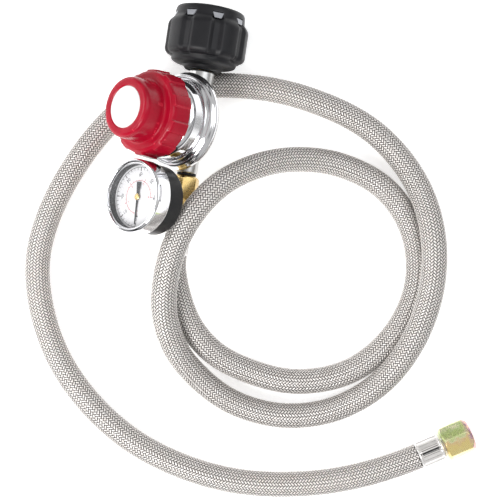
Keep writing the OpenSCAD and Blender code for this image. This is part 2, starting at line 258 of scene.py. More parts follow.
def add_piece(name, parts, where, material, body, replaces=(), sharp=32, uv=None,
              merge=True):
    """Makes one object of the parts, each (verts in mm in its own place, faces)."""
    origin, turn = where
    verts, faces = [], []
    for part_verts, part_faces in parts:
        base = len(verts)
        verts += [tuple(v) for v in (origin + np.asarray(part_verts) @ turn) * MM]
        faces += [tuple(base + i for i in f) for f in part_faces]
    mesh = bpy.data.meshes.new(name)
    mesh.from_pydata(verts, [], faces)
    if merge:
        bm = bmesh.new()
        bm.from_mesh(mesh)
        bmesh.ops.remove_doubles(bm, verts=bm.verts, dist=2e-7)
        bmesh.ops.dissolve_degenerate(bm, edges=bm.edges, dist=1e-7)
        bmesh.ops.recalc_face_normals(bm, faces=bm.faces)
        bm.to_mesh(mesh)
        bm.free()
    if uv is not None:
        layer = mesh.uv_layers.new(name="UVMap")
        loops = np.empty(len(mesh.loops), dtype=np.int32)
        mesh.loops.foreach_get("vertex_index", loops)
        layer.data.foreach_set("uv", np.asarray(uv, dtype=np.float32)[loops].ravel())
    mesh.polygons.foreach_set("use_smooth", [True] * len(mesh.polygons))
    mesh.set_sharp_from_angle(angle=rad(sharp))
    mesh.materials.append(material)
    obj = bpy.data.objects.new(name, mesh)
    bpy.context.scene.collection.objects.link(obj)
    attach(obj, body)
    if replaces:
        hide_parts(*replaces)
    return obj


# ---------------------------------------------------------------- materials
def new_material(name):
    mat = bpy.data.materials.new(name)
    mat.use_nodes = True
    tree = mat.node_tree
    return mat, tree, tree.nodes["Principled BSDF"]


def node(tree, kind, inputs=None, **settings):
    """A node with its settings and its inputs: a link from a socket, or a plain value."""
    n = tree.nodes.new(kind)
    for key, value in settings.items():
        setattr(n, key, value)
    for key, value in (inputs or {}).items():
        if isinstance(value, bpy.types.NodeSocket):
            tree.links.new(value, n.inputs[key])
        else:
            n.inputs[key].default_value = value
    return n


def rgba(colour):
    return (*colour, 1.0)


def noise(tree, scale, detail=4.0, rough=0.55):
    """A noise value over the object, with scale in cycles per metre."""
    where = node(tree, "ShaderNodeTexCoord").outputs["Object"]
    return node(tree, "ShaderNodeTexNoise", {
        "Vector": where, "Scale": scale, "Detail": detail, "Roughness": rough}).outputs["Fac"]


def span(tree, value, low, high, from_low=0.3, from_high=0.7):
    """The value mapped from one range to another. A noise value's useful range is the default."""
    return node(tree, "ShaderNodeMapRange", {
        "Value": value, "From Min": from_low, "From Max": from_high,
        "To Min": low, "To Max": high}).outputs["Result"]


def mix_colour(tree, fac, a, b):
    """A mix of two colours, each a socket or a plain colour."""
    n = node(tree, "ShaderNodeMix", data_type="RGBA")
    for key, value in ((0, fac), (6, a), (7, b)):
        if isinstance(value, bpy.types.NodeSocket):
            tree.links.new(value, n.inputs[key])
        else:
            n.inputs[key].default_value = value
    return n.outputs[2]


def ramp(tree, value, stops):
    """The value turned into a colour by stops, each (position, colour)."""
    n = node(tree, "ShaderNodeValToRGB", {"Fac": value})
    while len(n.color_ramp.elements) > 1:
        n.color_ramp.elements.remove(n.color_ramp.elements[-1])
    n.color_ramp.elements[0].position = stops[0][0]
    n.color_ramp.elements[0].color = rgba(stops[0][1])
    for at, colour in stops[1:]:
        n.color_ramp.elements.new(at).color = rgba(colour)
    return n.outputs["Color"]


def bump(tree, height, distance, strength=1.0):
    return node(tree, "ShaderNodeBump", {
        "Height": height, "Distance": distance, "Strength": strength}).outputs["Normal"]


TONE_SCALE = 90
COAT_ROUGH = 0.06


def finish(name, colour, other, metallic, rough, grain, depth=2e-5, coat=0.0, worn=None,
           gloss=0.5):
    """A surface with slow colour changes, changing polish, a fine grain, and worn edges."""
    mat, tree, bsdf = new_material(name)
    slow = noise(tree, TONE_SCALE, 3)
    fine = noise(tree, grain, 5, 0.6)
    paint = mix_colour(tree, span(tree, slow, 0, 1), rgba(colour), rgba(other))
    if worn:
        edge = node(tree, "ShaderNodeNewGeometry").outputs["Pointiness"]
        where = span(tree, edge, 0, 1, 0.515, 0.56)
        patchy = node(tree, "ShaderNodeMath", {0: where, 1: span(tree, fine, 0.35, 1)},
                      operation="MULTIPLY").outputs[0]
        paint = mix_colour(tree, patchy, paint, rgba(worn))
    tree.links.new(paint, bsdf.inputs["Base Color"])
    tree.links.new(span(tree, fine, rough[0], rough[1]), bsdf.inputs["Roughness"])
    tree.links.new(bump(tree, fine, depth), bsdf.inputs["Normal"])
    bsdf.inputs["Metallic"].default_value = metallic
    bsdf.inputs["Specular IOR Level"].default_value = gloss
    bsdf.inputs["Coat Weight"].default_value = coat
    bsdf.inputs["Coat Roughness"].default_value = COAT_ROUGH
    return mat


CHROME = finish("chrome_plate", (0.86, 0.86, 0.87), (0.80, 0.80, 0.82), 1.0, (0.05, 0.12), 900,
                depth=4e-6)
CAST = finish("cast_zinc_plate", (0.70, 0.70, 0.69), (0.60, 0.60, 0.59), 1.0, (0.26, 0.42), 1400,
              depth=2.5e-5)
STEEL = finish("plated_steel", (0.90, 0.88, 0.86), (0.82, 0.80, 0.78), 0.55, (0.12, 0.26), 1600,
               depth=8e-6)
SPRING = finish("spring_wire", (0.52, 0.52, 0.53), (0.42, 0.42, 0.43), 1.0, (0.25, 0.4), 2500)
BRASS = finish("machined_brass", (0.83, 0.62, 0.26), (0.74, 0.52, 0.20), 1.0, (0.20, 0.36), 1500,
               depth=1.2e-5)
BRONZE = finish("drawn_bronze", (0.72, 0.46, 0.26), (0.62, 0.38, 0.2), 1.0, (0.25, 0.4), 1500)
RUBBER = finish("black_rubber", (0.010, 0.010, 0.010), (0.018, 0.018, 0.018), 0.0, (0.55, 0.8), 1800,
                depth=6e-5)
RED = finish("red_gloss_plastic", (0.44, 0.004, 0.024), (0.35, 0.003, 0.018), 0.0, (0.16, 0.26),
             1200, depth=1.2e-5, worn=(0.66, 0.03, 0.06), gloss=0.3)
LABEL = finish("label_film", (0.86, 0.86, 0.85), (0.80, 0.80, 0.80), 0.0, (0.35, 0.5), 2200,
               depth=8e-6, coat=0.2)
CHARCOAL = finish("charcoal_plastic", (0.006, 0.006, 0.008), (0.011, 0.011, 0.013), 0.0,
                  (0.34, 0.52), 2600, depth=6e-5, worn=(0.06, 0.06, 0.064), gloss=0.35)
CASE = finish("black_case_paint", (0.005, 0.005, 0.006), (0.009, 0.009, 0.010), 0.0,
              (0.26, 0.40), 2000, depth=2e-5, gloss=0.3)
DIAL = finish("dial_print_white", (0.88, 0.87, 0.88), (0.84, 0.84, 0.86), 0.0, (0.4, 0.5), 1500,
              depth=4e-6)
INK = finish("black_ink", (0.012, 0.012, 0.014), (0.02, 0.02, 0.022), 0.0, (0.4, 0.55), 3000,
             depth=2e-6)
RED_INK = finish("red_ink", (0.62, 0.05, 0.06), (0.55, 0.05, 0.05), 0.0, (0.4, 0.55), 3000,
                 depth=2e-6)


def lens_material():
    """Clear glass that is nearly all see-through, with a faint smear in its polish."""
    mat, tree, bsdf = new_material("clear_lens")
    smear = noise(tree, 140, 5)
    tree.links.new(span(tree, smear, 0.03, 0.12), bsdf.inputs["Roughness"])
    tree.links.new(span(tree, smear, 0.02, 0.05), bsdf.inputs["Alpha"])
    bsdf.inputs["Specular IOR Level"].default_value = 0.3
    bsdf.inputs["Base Color"].default_value = (0.95, 0.97, 1.0, 1.0)
    bsdf.inputs["IOR"].default_value = 1.5
    return mat


WIRES = 6


def braid_material():
    """Six bright wires side by side in each strand, from the strand's own UV map.

    U runs across the strand. V is whole where the strand stands proud and half where it is under. The
    colour carries painted shade: near black where the strand dips under the other lay, and darker in the
    grooves between the wires.
    """
    mat, tree, bsdf = new_material("steel_wire_braid")
    uv = node(tree, "ShaderNodeTexCoord").outputs["UV"]
    split = node(tree, "ShaderNodeSeparateXYZ", {"Vector": uv})

    def wave(value, turns):
        angle = node(tree, "ShaderNodeMath", {0: value, 1: turns * TAU}, operation="MULTIPLY")
        return node(tree, "ShaderNodeMath", {0: angle.outputs[0]}, operation="COSINE").outputs[0]

    wires = span(tree, wave(split.outputs["X"], WIRES), 1, 0, -1, 1)
    proud = span(tree, wave(split.outputs["Y"], 1), 0, 1, -0.1, 0.7)
    slow = noise(tree, 260, 3)
    fine = noise(tree, 1500, 3)
    steel = mix_colour(tree, span(tree, slow, 0, 1), rgba((1.0, 0.97, 0.94)),
                       rgba((0.96, 0.90, 0.85)))
    # painted shade: near black where the strand dips under the other lay
    paint = mix_colour(tree, proud, rgba((0.03, 0.022, 0.02)), steel)
    # painted shade darkens the grooves between the wires
    paint = mix_colour(tree, span(tree, wires, 0, 0.5, 0.35, 0), paint, rgba((0.12, 0.10, 0.09)))
    tree.links.new(paint, bsdf.inputs["Base Color"])
    tree.links.new(span(tree, fine, 0.20, 0.34), bsdf.inputs["Roughness"])
    tree.links.new(bump(tree, wires, 4e-5, 0.5), bsdf.inputs["Normal"])
    bsdf.inputs["Metallic"].default_value = 0.3
    return mat


ZINC_MIDDLE = 26
ZINC_HALF_WIDTH = 11


def zinc_material():
    """Yellow zinc plate: gold, green, pink and violet films that change over the nut."""
    mat, tree, bsdf = new_material("yellow_zinc_plate")
    where = node(tree, "ShaderNodeTexCoord").outputs["Object"]
    origin, turn = HOSE_END
    centre = tuple((origin + ZINC_MIDDLE * turn[2]) * MM)
    local = node(tree, "ShaderNodeVectorMath", {0: where, 1: centre}, operation="SUBTRACT")

    def along(direction, low, high):
        dot = node(tree, "ShaderNodeVectorMath", {0: local.outputs[0], 1: tuple(direction)},
                   operation="DOT_PRODUCT").outputs["Value"]
        return span(tree, dot, 0, 1, low * MM, high * MM)

    film = noise(tree, 210, 5, 0.6)
    across = node(tree, "ShaderNodeMath", {
        0: along(turn[1], -ZINC_HALF_WIDTH, ZINC_HALF_WIDTH),
        1: span(tree, film, -0.14, 0.14)}, operation="ADD").outputs[0]
    body = ramp(tree, across, [
        (0.0, (0.88, 0.84, 0.60)), (0.20, (0.88, 0.74, 0.34)), (0.42, (0.90, 0.72, 0.30)),
        (0.56, (0.88, 0.66, 0.36)), (0.64, (0.86, 0.84, 0.50)), (0.80, (0.58, 0.72, 0.28)),
        (0.92, (0.66, 0.76, 0.40)), (1.0, (0.86, 0.86, 0.56))])
    ends = ramp(tree, span(tree, noise(tree, 420, 4), 0, 1), [
        (0.0, (0.90, 0.80, 0.48)), (0.4, (0.84, 0.58, 0.42)), (0.7, (0.66, 0.36, 0.56)),
        (1.0, (0.80, 0.78, 0.46))])
    reach = along(turn[2], 5.5, 8.0)
    tree.links.new(mix_colour(tree, reach, body, ends), bsdf.inputs["Base Color"])
    fine = noise(tree, 1800, 5)
    tree.links.new(span(tree, fine, 0.20, 0.36), bsdf.inputs["Roughness"])
    tree.links.new(bump(tree, fine, 1.5e-5), bsdf.inputs["Normal"])
    bsdf.inputs["Metallic"].default_value = 0.9
    return mat


# lighter grey for the plates in the nut's pockets: painted sheen on their sloping floors
POCKET = finish("pocket_painted_sheen", (0.42, 0.43, 0.46), (0.30, 0.31, 0.34), 0.2, (0.12, 0.25), 2600,
                depth=2e-5)
LENS = lens_material()
BRAID = braid_material()
ZINC = zinc_material()

BY_SLOT = {
    "cast_zinc": CAST, "chrome": CHROME, "brass": BRASS, "steel": STEEL,
    "spring_steel": SPRING, "rubber": RUBBER, "red_plastic": RED, "label": LABEL,
    "black_plastic": CHARCOAL, "dark_plastic": CASE, "glass": LENS, "dial_paint": DIAL,
    "black_paint": INK, "copper_alloy": BRONZE, "braid": BRAID, "zinc_yellow": ZINC,
}
# The inner pieces keep their CAD shapes, and every one gets the material of its slot.
for part in frame["record"]["subparts"]:
    data = frame["nodes"][part["node"]].data
    if not data.materials:
        data.materials.append(None)
    for i in range(len(data.materials)):
        data.materials[i] = BY_SLOT[part["material_slot"]]


# ---------------------------------------------------------------- floor and world
FLOOR_HALF = 3.0
FLOOR_GLOW = 0.5
WORLD_STRENGTH = 0.55


def make_floor():
    """A plain floor under the object, with a little light of its own, so that it reads white."""
    mat, tree, bsdf = new_material("studio_floor")
    slow = span(tree, noise(tree, 6, 2), 0, 1)
    paint = mix_colour(tree, slow, rgba((0.93, 0.93, 0.93)), rgba((0.91, 0.91, 0.91)))
    tree.links.new(paint, bsdf.inputs["Base Color"])
    bsdf.inputs["Roughness"].default_value = 0.7
    bsdf.inputs["Emission Color"].default_value = (1.0, 1.0, 1.0, 1.0)
    bsdf.inputs["Emission Strength"].default_value = FLOOR_GLOW
    mesh = bpy.data.meshes.new("floor")
    h = FLOOR_HALF
    mesh.from_pydata([(-h, -h, 0), (h, -h, 0), (h, h, 0), (-h, h, 0)], [], [(0, 1, 2, 3)])
    mesh.materials.append(mat)
    obj = bpy.data.objects.new("floor", mesh)
    bpy.context.scene.collection.objects.link(obj)
    obj.location = (0, 0, min(CAD_BOX[0][2], 0.0))


def make_world():
    """A soft studio: bright at the horizon, a dark band just above it, and a bright ceiling.

    Grey panels lie between the band and the ceiling. The ceiling itself is even.
    """
    world = bpy.data.worlds.new("studio")
    world.use_nodes = True
    bpy.context.scene.world = world
    tree = world.node_tree
    back = tree.nodes["Background"]
    way = node(tree, "ShaderNodeTexCoord").outputs["Generated"]
    height = node(tree, "ShaderNodeSeparateXYZ", {"Vector": way}).outputs["Z"]
    bands = ramp(tree, height, [
        (0.0, (0.95, 0.95, 0.95)), (0.12, (0.98, 0.98, 0.98)), (0.17, (0.12, 0.12, 0.13)),
        (0.26, (0.12, 0.12, 0.13)), (0.33, (1.0, 1.0, 1.0)), (0.80, (1.1, 1.1, 1.1)),
        (1.0, (1.15, 1.15, 1.15))])
    patch = node(tree, "ShaderNodeTexNoise", {"Vector": way, "Scale": 1.6, "Detail": 1.0})
    shade = ramp(tree, patch.outputs["Fac"], [
        (0.38, (0.30, 0.30, 0.31)), (0.50, (0.95, 0.95, 0.95)), (1.0, (1.1, 1.1, 1.1))])
    mixed = node(tree, "ShaderNodeMix", data_type="RGBA", blend_type="MULTIPLY")
    tree.links.new(span(tree, height, 1, 0, 0.72, 0.86), mixed.inputs[0])
    tree.links.new(bands, mixed.inputs[6])
    tree.links.new(shade, mixed.inputs[7])
    tree.links.new(mixed.outputs[2], back.inputs["Color"])
    back.inputs["Strength"].default_value = WORLD_STRENGTH


make_floor()
make_world()


# ---------------------------------------------------------------- hose
TUBE_R = 6.95
TUBE_SIDES = 24
TUBE_STEP = 5.0
BRAID_R = 7.4
BRAID_STRANDS = 24
BRAID_PITCH = 1.95
BRAID_LEAD = BRAID_PITCH * BRAID_STRANDS
STRAND_W = 0.96
WEAVE = 0.28
CROWN = 0.14


def tube(line, radius, sides, step):
    """A round bar along the line, closed at both ends."""
    s = np.linspace(0, line.length, int(line.length / step) + 1)
    angle = np.arange(sides) * TAU / sides
    ss, aa = np.meshgrid(s, angle, indexing="ij")
    verts = line.at(ss, aa, np.full(ss.shape, float(radius))).reshape(-1, 3)
    faces = [(i * sides + k, i * sides + (k + 1) % sides, (i + 1) * sides + (k + 1) % sides,
              (i + 1) * sides + k) for i in range(len(s) - 1) for k in range(sides)]
    faces.append(tuple(range(sides))[::-1])
    faces.append(tuple((len(s) - 1) * sides + k for k in range(sides)))
    return verts, faces


def braid(line, hand):
    """One lay of the braid. Each strand passes over two strands of the other lay, then under two."""
    step = BRAID_LEAD / (2 * BRAID_STRANDS)
    crossings = np.arange(int(line.length / step) + 1)
    lean = np.array([-TAU * BRAID_R / BRAID_LEAD * hand, 1.0])
    lean /= np.linalg.norm(lean)
    across = np.array([-0.5, 0.0, 0.5]) * STRAND_W
    crown = np.array([-CROWN, CROWN, -CROWN])
    verts, faces, uv = [], [], []
    for i in range(BRAID_STRANDS):
        phase = 2 * i + hand * crossings - (0 if hand > 0 else 2)
        height = np.where(phase % 4 < 2, WEAVE, -WEAVE)
        s = crossings * step
        angle = TAU * i / BRAID_STRANDS + hand * TAU * s / BRAID_LEAD
        ss = np.clip(s[:, None] + across[None, :] * lean[0], 0, line.length)
        aa = angle[:, None] + across[None, :] * lean[1] / BRAID_R
        rr = BRAID_R + height[:, None] + crown[None, :]
        base = len(verts) * 3 * len(crossings)
        verts.append(line.at(ss, aa, rr).reshape(-1, 3))
        k = base + 3 * np.arange(len(crossings) - 1)
        for c in (0, 1):
            faces.append(np.stack([k + c, k + c + 1, k + c + 4, k + c + 3], 1))
        # V runs along the strand; the braid material paints shade from it where the strand dips under
        along = np.repeat((phase[:, None] - 0.5) / 4, 3, 1)
        uv.append(np.stack([np.tile([0, 0.5, 1.0], (len(s), 1)), along], -1).reshape(-1, 2))
    return np.concatenate(verts), np.concatenate(faces).tolist(), np.concatenate(uv)


hose_core = add_piece("hose_core", [tube(LINE, TUBE_R, TUBE_SIDES, TUBE_STEP)], WORLD, RUBBER, "regulator",
                      ["hose"], sharp=80)
for name, hand in (("hose_braid_right", 1), ("hose_braid_left", -1)):
    verts, faces, uv = braid(LINE, hand)
    add_piece(name, [(verts, faces)], WORLD, BRAID, "regulator", ["hose"],
                          sharp=80, uv=uv, merge=False)


# ---------------------------------------------------------------- regulator body
body_dish = rounded([
    (0, -11), (9, -11, 0.8), (10, -9.6, 0.8), (10.6, 0.5, 3), (16, 1.6, 2), (22, 3.8, 3),
    (26.4, 6.4, 1.5), (28.9, 9, 0.6), (28.9, 9.8, 0.3), (28.1, 9.8, 0), (28.1, 11.6, 0.1), (0, 11.6)])
add_piece("body_casting", [lathe(body_dish, 120)], BONNET, CAST, "regulator",
          ["valve_body"], sharp=40)
neck = rounded([(0, 2), (10, 2, 0.3), (10, 15.4, 0.8), (8.1, 16.2, 0.8), (7.8, 17.5, 0.8),
                (7.8, 31.9, 0.4), (7.3, 32.6, 0.2), (6.42, 32.6, 0), (6.42, 24)])
add_piece("inlet_neck", [lathe(neck, 96)], INLET, CAST, "regulator", ["valve_body"])
outlet = rounded([(0, 4), (6.4, 4, 0.2), (6.4, 29.1, 0.4), (6.0, 29.6, 0.2), (0, 29.6)])
add_piece("outlet_boss", [lathe(outlet, 96)], OUTLET, CAST, "regulator",
          ["valve_body"])

cup_ring = rounded([
    (28.1, 9.85, 0), (29.3, 9.85, 0.4), (29.7, 10.4, 0.5), (29.7, 12.2, 0.9), (28.9, 13.2, 0.3),
    (28.3, 14.5, 0.9), (27.3, 15.3, 0.9), (26.2, 15.1, 0.5), (25.9, 14.3, 0.1), (28.1, 14.25, 0)],
    closed=True, steps=6)
add_piece("crimp_ring_rolled", [lathe(cup_ring, 144, closed=True)], BONNET, CHROME, "regulator",
          ["crimp_ring"], sharp=60)
dome = rounded([
    (0, 12.8), (27.3, 12.8, 0), (27.3, 14.2, 0.1), (25.6, 14.2, 0.6), (24.1, 15.6, 1.0),
    (24.1, 24.6, 1.8), (22.6, 27.2, 1.6), (19, 28.35, 2), (9.0, 28.38, 0.5), (8.4, 27.6, 0.3),
    (5.0, 27.6, 0)], steps=6)
add_piece("bonnet_shell", [lathe(dome, 144)], BONNET, CHROME, "regulator", ["bonnet"],
          sharp=50)


# ---------------------------------------------------------------- knob
KNOB_Z = 29.0
RIBS = 10
RIB_HALF = math.asin(3.6 / 26.1)
RIB_RISE = 0.85


def ribbed(a, r, z):
    """Ribs on the knob's wide tier. The bore and the narrow tier stay as turned."""
    near = np.abs(a % (TAU / RIBS) - TAU / 2 / RIBS)
    rib = 1 - smooth_step(near, RIB_HALF - rad(0.9), RIB_HALF + rad(0.9))
    inside = (r < 24.56) & (z < KNOB_Z + 7)
    reach = 1 - smooth_step(z, KNOB_Z + 12.0, KNOB_Z + 12.9)
    return np.where((r > 22.9) & ~inside, r + RIB_RISE * rib * reach, r), z


knob_outline = dense([(r, z + KNOB_Z) for r, z in rounded([
    (5.0, 6.4, 0), (24.55, 6.4, 0.3), (24.55, 0.0, 0), (24.7, 0.0, 0.0), (25.15, 0.35, 0.3),
    (24.4, 11.4, 0.8), (23.8, 13.0, 0.9), (22.4, 13.6, 1.0), (19.4, 13.6, 0.6), (18.5, 14.1, 0.8),
    (18.2, 15.6, 1.0), (17.9, 25.6, 1.6), (17.1, 27.5, 1.0), (15.9, 28.0, 0.9), (12.9, 28.0, 0.4),
    (12.4, 27.5, 0.1), (0, 27.45)], steps=5)], 2.0)
add_piece("knob_shell", [lathe(knob_outline, 360, ribbed)], BONNET, RED, "knob",
          ["control_knob"], sharp=38)
label = [(r, z + KNOB_Z) for r, z in rounded([
    (0, 27.86), (11.6, 27.86, 0.3), (12.15, 27.6, 0.1), (12.15, 27.5), (0, 27.48)])]
add_piece("knob_label_disc", [lathe(label, 96)], BONNET, LABEL, "knob", ["knob_label"])


# ---------------------------------------------------------------- hand nut
LOBES = 8
LOBE_TURN = rad(-7)
GRIP_DEPTH = 1.7
POCKET_FLOOR_R = 20.0
NUT_THREAD_PITCH = 2.54
NUT_THREAD_R = 15.6
NUT_THREAD_DEPTH = 1.1


def lobed(a, r, z):
    """Eight shallow grip grooves, a pocket in the rim above each, and the thread inside."""
    near = np.abs((a - LOBE_TURN) % (TAU / LOBES) - TAU / 2 / LOBES)
    groove = 1 - smooth_step(near, rad(3.5), rad(10.5))
    stretch = smooth_step(z, 38.5, 41.5) * (1 - smooth_step(z, 61.8, 63.6))
    outer = r > 19.0
    r = np.where(outer, r - GRIP_DEPTH * groove * stretch, r)
    pocket = (1 - smooth_step(near, rad(7.5), rad(9.0))) * smooth_step(z, 61.6, 62.2) \
        * (1 - smooth_step(z, 65.4, 66.2))
    r = np.where(outer, np.minimum(r, r * (1 - pocket) + POCKET_FLOOR_R * pocket), r)
    turn = (z / NUT_THREAD_PITCH - a / TAU) % 1
    ridge = np.abs(turn - 0.5) * 2
    cut = smooth_step(ridge, 0.25, 0.75) * smooth_step(z, 49.5, 51) * (1 - smooth_step(z, 66, 67.5))
    inside = np.abs(r - NUT_THREAD_R) < 0.05
    return np.where(inside, r + NUT_THREAD_DEPTH * cut, r), z


nut_outline = dense(rounded([
    (6.46, 44.7, 0), (6.46, 33.0, 0.2), (10.6, 33.0, 0.5), (11.6, 33.9, 0.5), (12.2, 35.6, 0.6),
    (17.6, 36.3, 0.8), (19.6, 37.3, 0.8), (20.3, 40.0, 0.5), (23.2, 40.9, 0.9), (24.55, 42.8, 1.2),
    (24.55, 59.2, 1.2), (23.5, 61.2, 0.8), (21.5, 63.4, 0.8), (21.0, 68.4, 0.7), (20.2, 69.75, 0.5),
    (17.2, 69.75, 0.2), (NUT_THREAD_R, 68.2, 0.1), (NUT_THREAD_R, 44.8, 0.0), (6.46, 44.7, 0)],
    steps=3), 0.55)
add_piece("hand_nut_shell", [lathe(nut_outline, 240, lobed)], INLET, CHARCOAL, "nut",
          ["hand_nut"], sharp=36)


def pocket_sheen_plates():
    """The sloping floor of each pocket, a little plate that is wider towards the rim, in a lighter grey
    that is painted sheen.
    """
    parts = []
    for i in range(LOBES):
        middle = (i + 0.5) * TAU / LOBES + LOBE_TURN
        out = np.array([math.cos(middle), math.sin(middle), 0])
        side = np.array([-math.sin(middle), math.cos(middle), 0])
        verts = []
        # the plate's two ends, each with its radius, its height and half its width
        for r, z, half in ((21.9, 62.3, 2.1), (21.0, 65.5, 3.3)):
            for depth in (0, 0.9):
                for sign in (-1, 1):
                    verts.append(out * (r - depth) + side * half * sign + np.array([0, 0, z]))
        parts.append((verts, [(0, 1, 5, 4), (2, 6, 7, 3), (0, 2, 3, 1), (4, 5, 7, 6), (0, 4, 6, 2),
                              (1, 3, 7, 5)]))
    return parts


# small lighter plates in the pockets: painted sheen
add_piece("nut_pocket_sheen", pocket_sheen_plates(), INLET, POCKET, "nut", sharp=30)
nose = rounded([
    (6.4, 33.5, 0), (6.4, 45.0, 0), (9.3, 45.0, 0.3), (9.3, 47.6, 0.4), (7.0, 47.8, 0.2),
    (7.0, 59.4, 0.8), (6.2, 61.2, 0.8), (4.9, 61.98, 0.4), (3.2, 61.9, 0.3), (3.0, 61.0, 0.2),
    (3.0, 58.0)])
add_piece("inlet_nose_turned", [lathe(nose, 96)], INLET, BRASS, "regulator",
          ["inlet_nipple"])


# ---------------------------------------------------------------- outlet tee and first fitting
TEE_AF = 15
TEE_TURN = rad(90) - TILT
STEM_AF = 16
tee = dense(rounded([
    (0, 31.2), (5.8, 31.2, 0.2), (8.66, 33.1, 0.4), (8.66, 57.3, 0.3), (7.6, 58.0, 0.2), (0, 58.0)]),
    1.0)
boss = rounded([(0, 2), (7.0, 2, 0), (7.0, 10.5, 0.5), (6.4, 11.0, 0.3), (0, 11.0)])
add_piece("tee_hex", [lathe(tee, 144, hexed(TEE_AF, TEE_TURN))], OUTLET, BRASS, "regulator",
          ["outlet_tee"], sharp=24)
add_piece("tee_boss", [lathe(boss, 96)], GAUGE, BRASS, "regulator", ["outlet_tee"])
seal = rounded([(0, 29.62), (5.8, 29.62, 0.5), (5.8, 31.18, 0.5), (0, 31.18)], steps=5)
add_piece("tee_seal_ring", [lathe(seal, 96)], OUTLET, RUBBER, "regulator", ["tee_seal"])
stem = dense(rounded([
    (0, 58.05), (8.1, 58.05, 0.2), (9.24, 59.0, 0.3), (9.24, 65.1, 0.3), (8.1, 66.0, 0.2),
    (4.9, 66.0, 0), (4.9, FERRULE_END)]), 0.8)
stem_hex = add_piece("start_hex", [lathe(stem, 144, hexed(STEM_AF, 0.0))], OUTLET, STEEL, "regulator",
                     ["start_stem"], sharp=24)


FLUTES = 12
FLUTE_AF = 15.0
RIDGE_R = 8.0
RIDGE_GAP = 0.7
SEAM_AT = rad(168)
SEAM_DEPTH = 1.5


def crimped(z0, z1):
    """Pressed flats with a raised ridge between each pair, one split, and a plain rim at each end."""
    def shape(a, r, z):
        ridge_at = np.abs((a + TAU / 2 / FLUTES) % (TAU / FLUTES) - TAU / 2 / FLUTES)
        pressed = np.minimum(r, flats(a, FLUTES, FLUTE_AF, 0.0)) - 0.12
        ridge = 1 - smooth_step(ridge_at, rad(1.6), rad(3.4))
        gap = (1 - smooth_step(np.abs(ridge_at - rad(4.6)), rad(0.9), rad(2.2))) * RIDGE_GAP
        form = pressed * (1 - ridge) + np.minimum(r, RIDGE_R) * ridge - gap
        seam = 1 - smooth_step(np.abs((a - SEAM_AT + math.pi) % TAU - math.pi), rad(3.2), rad(5))
        form = form - SEAM_DEPTH * seam
        length = smooth_step(z, z0 + 1.1, z0 + 1.9) * (1 - smooth_step(z, z1 - 2.2, z1 - 1.4))
        return np.where(r > 7.0, r * (1 - length) + form * length, r), z
    return shape


def ferrule(z0, z1):
    """A crimped sleeve between two heights."""
    outline = dense(rounded([
        (4.95, z0 + 0.05, 0), (7.5, z0 + 0.05, 0.3), (7.95, z0 + 0.7, 0.4), (7.95, z1 - 0.7, 0.4),
        (7.5, z1 - 0.05, 0.3), (4.95, z1 - 0.05, 0)], steps=4), 0.6)
    return lathe(outline, 288, crimped(z0, z1))


first_ferrule = add_piece("start_ferrule_crimped", [ferrule(66.05, FERRULE_END)], OUTLET, STEEL,
                          "regulator", ["start_ferrule"], sharp=40)


# ---------------------------------------------------------------- gauge
case = rounded([
    (4.9, 20.5, 0), (18.65, 20.5, 0.4), (19.85, 21.2, 0.5), (20.65, 22.5, 0.8), (20.65, 41.3, 0.1),
    (19.45, 41.3, 0.1), (19.45, 22.3, 0.3), (4.9, 22.3, 0)], steps=5)
add_piece("gauge_case_shell", [lathe(case, 144)], GAUGE, CASE, "regulator",
          ["gauge_case"], sharp=40)

BEZEL_R = 21.8
SLOT_AT, SLOT_HALF = rad(10), math.asin(4.7 / BEZEL_R)
SLOT_LOW, SLOT_HIGH = 42.0, 43.0
SLOT_FLOOR_R = 20.7


def slotted(a, r, z):
    """The slot in the side of the bezel."""
    near = np.abs((a - SLOT_AT + math.pi) % TAU - math.pi)
    cut = (near < SLOT_HALF) & (z > SLOT_LOW - 0.03) & (z < SLOT_HIGH + 0.03) & (r > 20.8)
    return np.where(cut, SLOT_FLOOR_R, r), z


bezel = rounded([
    (20.67, 34.0, 0), (21.6, 34.0, 0.2), (BEZEL_R, 34.4, 0.2), (BEZEL_R, SLOT_LOW - 0.05, 0),
    (BEZEL_R, SLOT_LOW, 0), (BEZEL_R, SLOT_HIGH, 0), (BEZEL_R, SLOT_HIGH + 0.04, 0),
    (21.77, 43.6, 0.5), (21.2, 44.4, 0.6), (20.3, 44.7, 0.6),
    (19.2, 44.45, 0.6), (18.7, 43.2, 0.2), (18.7, 42.95, 0), (20.67, 42.95, 0)], closed=True,
    steps=5)
add_piece("gauge_bezel_ring", [lathe(bezel, 216, slotted, closed=True)], GAUGE, CHROME,
          "regulator", ["gauge_bezel"], sharp=50)
gasket = rounded([(18.75, 38.25, 0), (19.4, 38.25, 0), (19.4, 42.9, 0.1), (18.75, 42.9, 0.2)],
                 closed=True)
add_piece("gauge_gasket_ring", [lathe(gasket, 144, closed=True)], GAUGE, RUBBER, "regulator",
          sharp=50)
lens = rounded([(0, 41.95), (18.72, 41.95, 0.1), (18.72, 42.8, 0.1), (0, 42.85)])
add_piece("gauge_lens_glass", [lathe(lens, 96)], GAUGE, LENS, "regulator",
          ["gauge_lens"])
dial = rounded([(0, 37.6), (18.73, 37.6, 0.05), (18.73, 38.2, 0.05), (0, 38.2)])
add_piece("gauge_dial_plate", [lathe(dial, 96)], GAUGE, DIAL, "regulator",
          ["gauge_dial"])

ZERO = -87.0
SWEEP = 270.0
UPRIGHT = rad(ZERO + 135)
DIAL_TOP = 38.23
BLACK_STEPS, RED_STEPS = 30, 20
MAJOR_EVERY = 5


def mark(r0, r1, angle, width):
    """A printed line on the dial."""
    a = rad(angle)
    out, side = np.array([math.cos(a), math.sin(a)]), np.array([-math.sin(a), math.cos(a)])
    flat = [out * r0 - side * width / 2, out * r1 - side * width / 2, out * r1 + side * width / 2,
            out * r0 + side * width / 2]
    return [(x, y, DIAL_TOP) for x, y in flat], [(0, 1, 2, 3)]


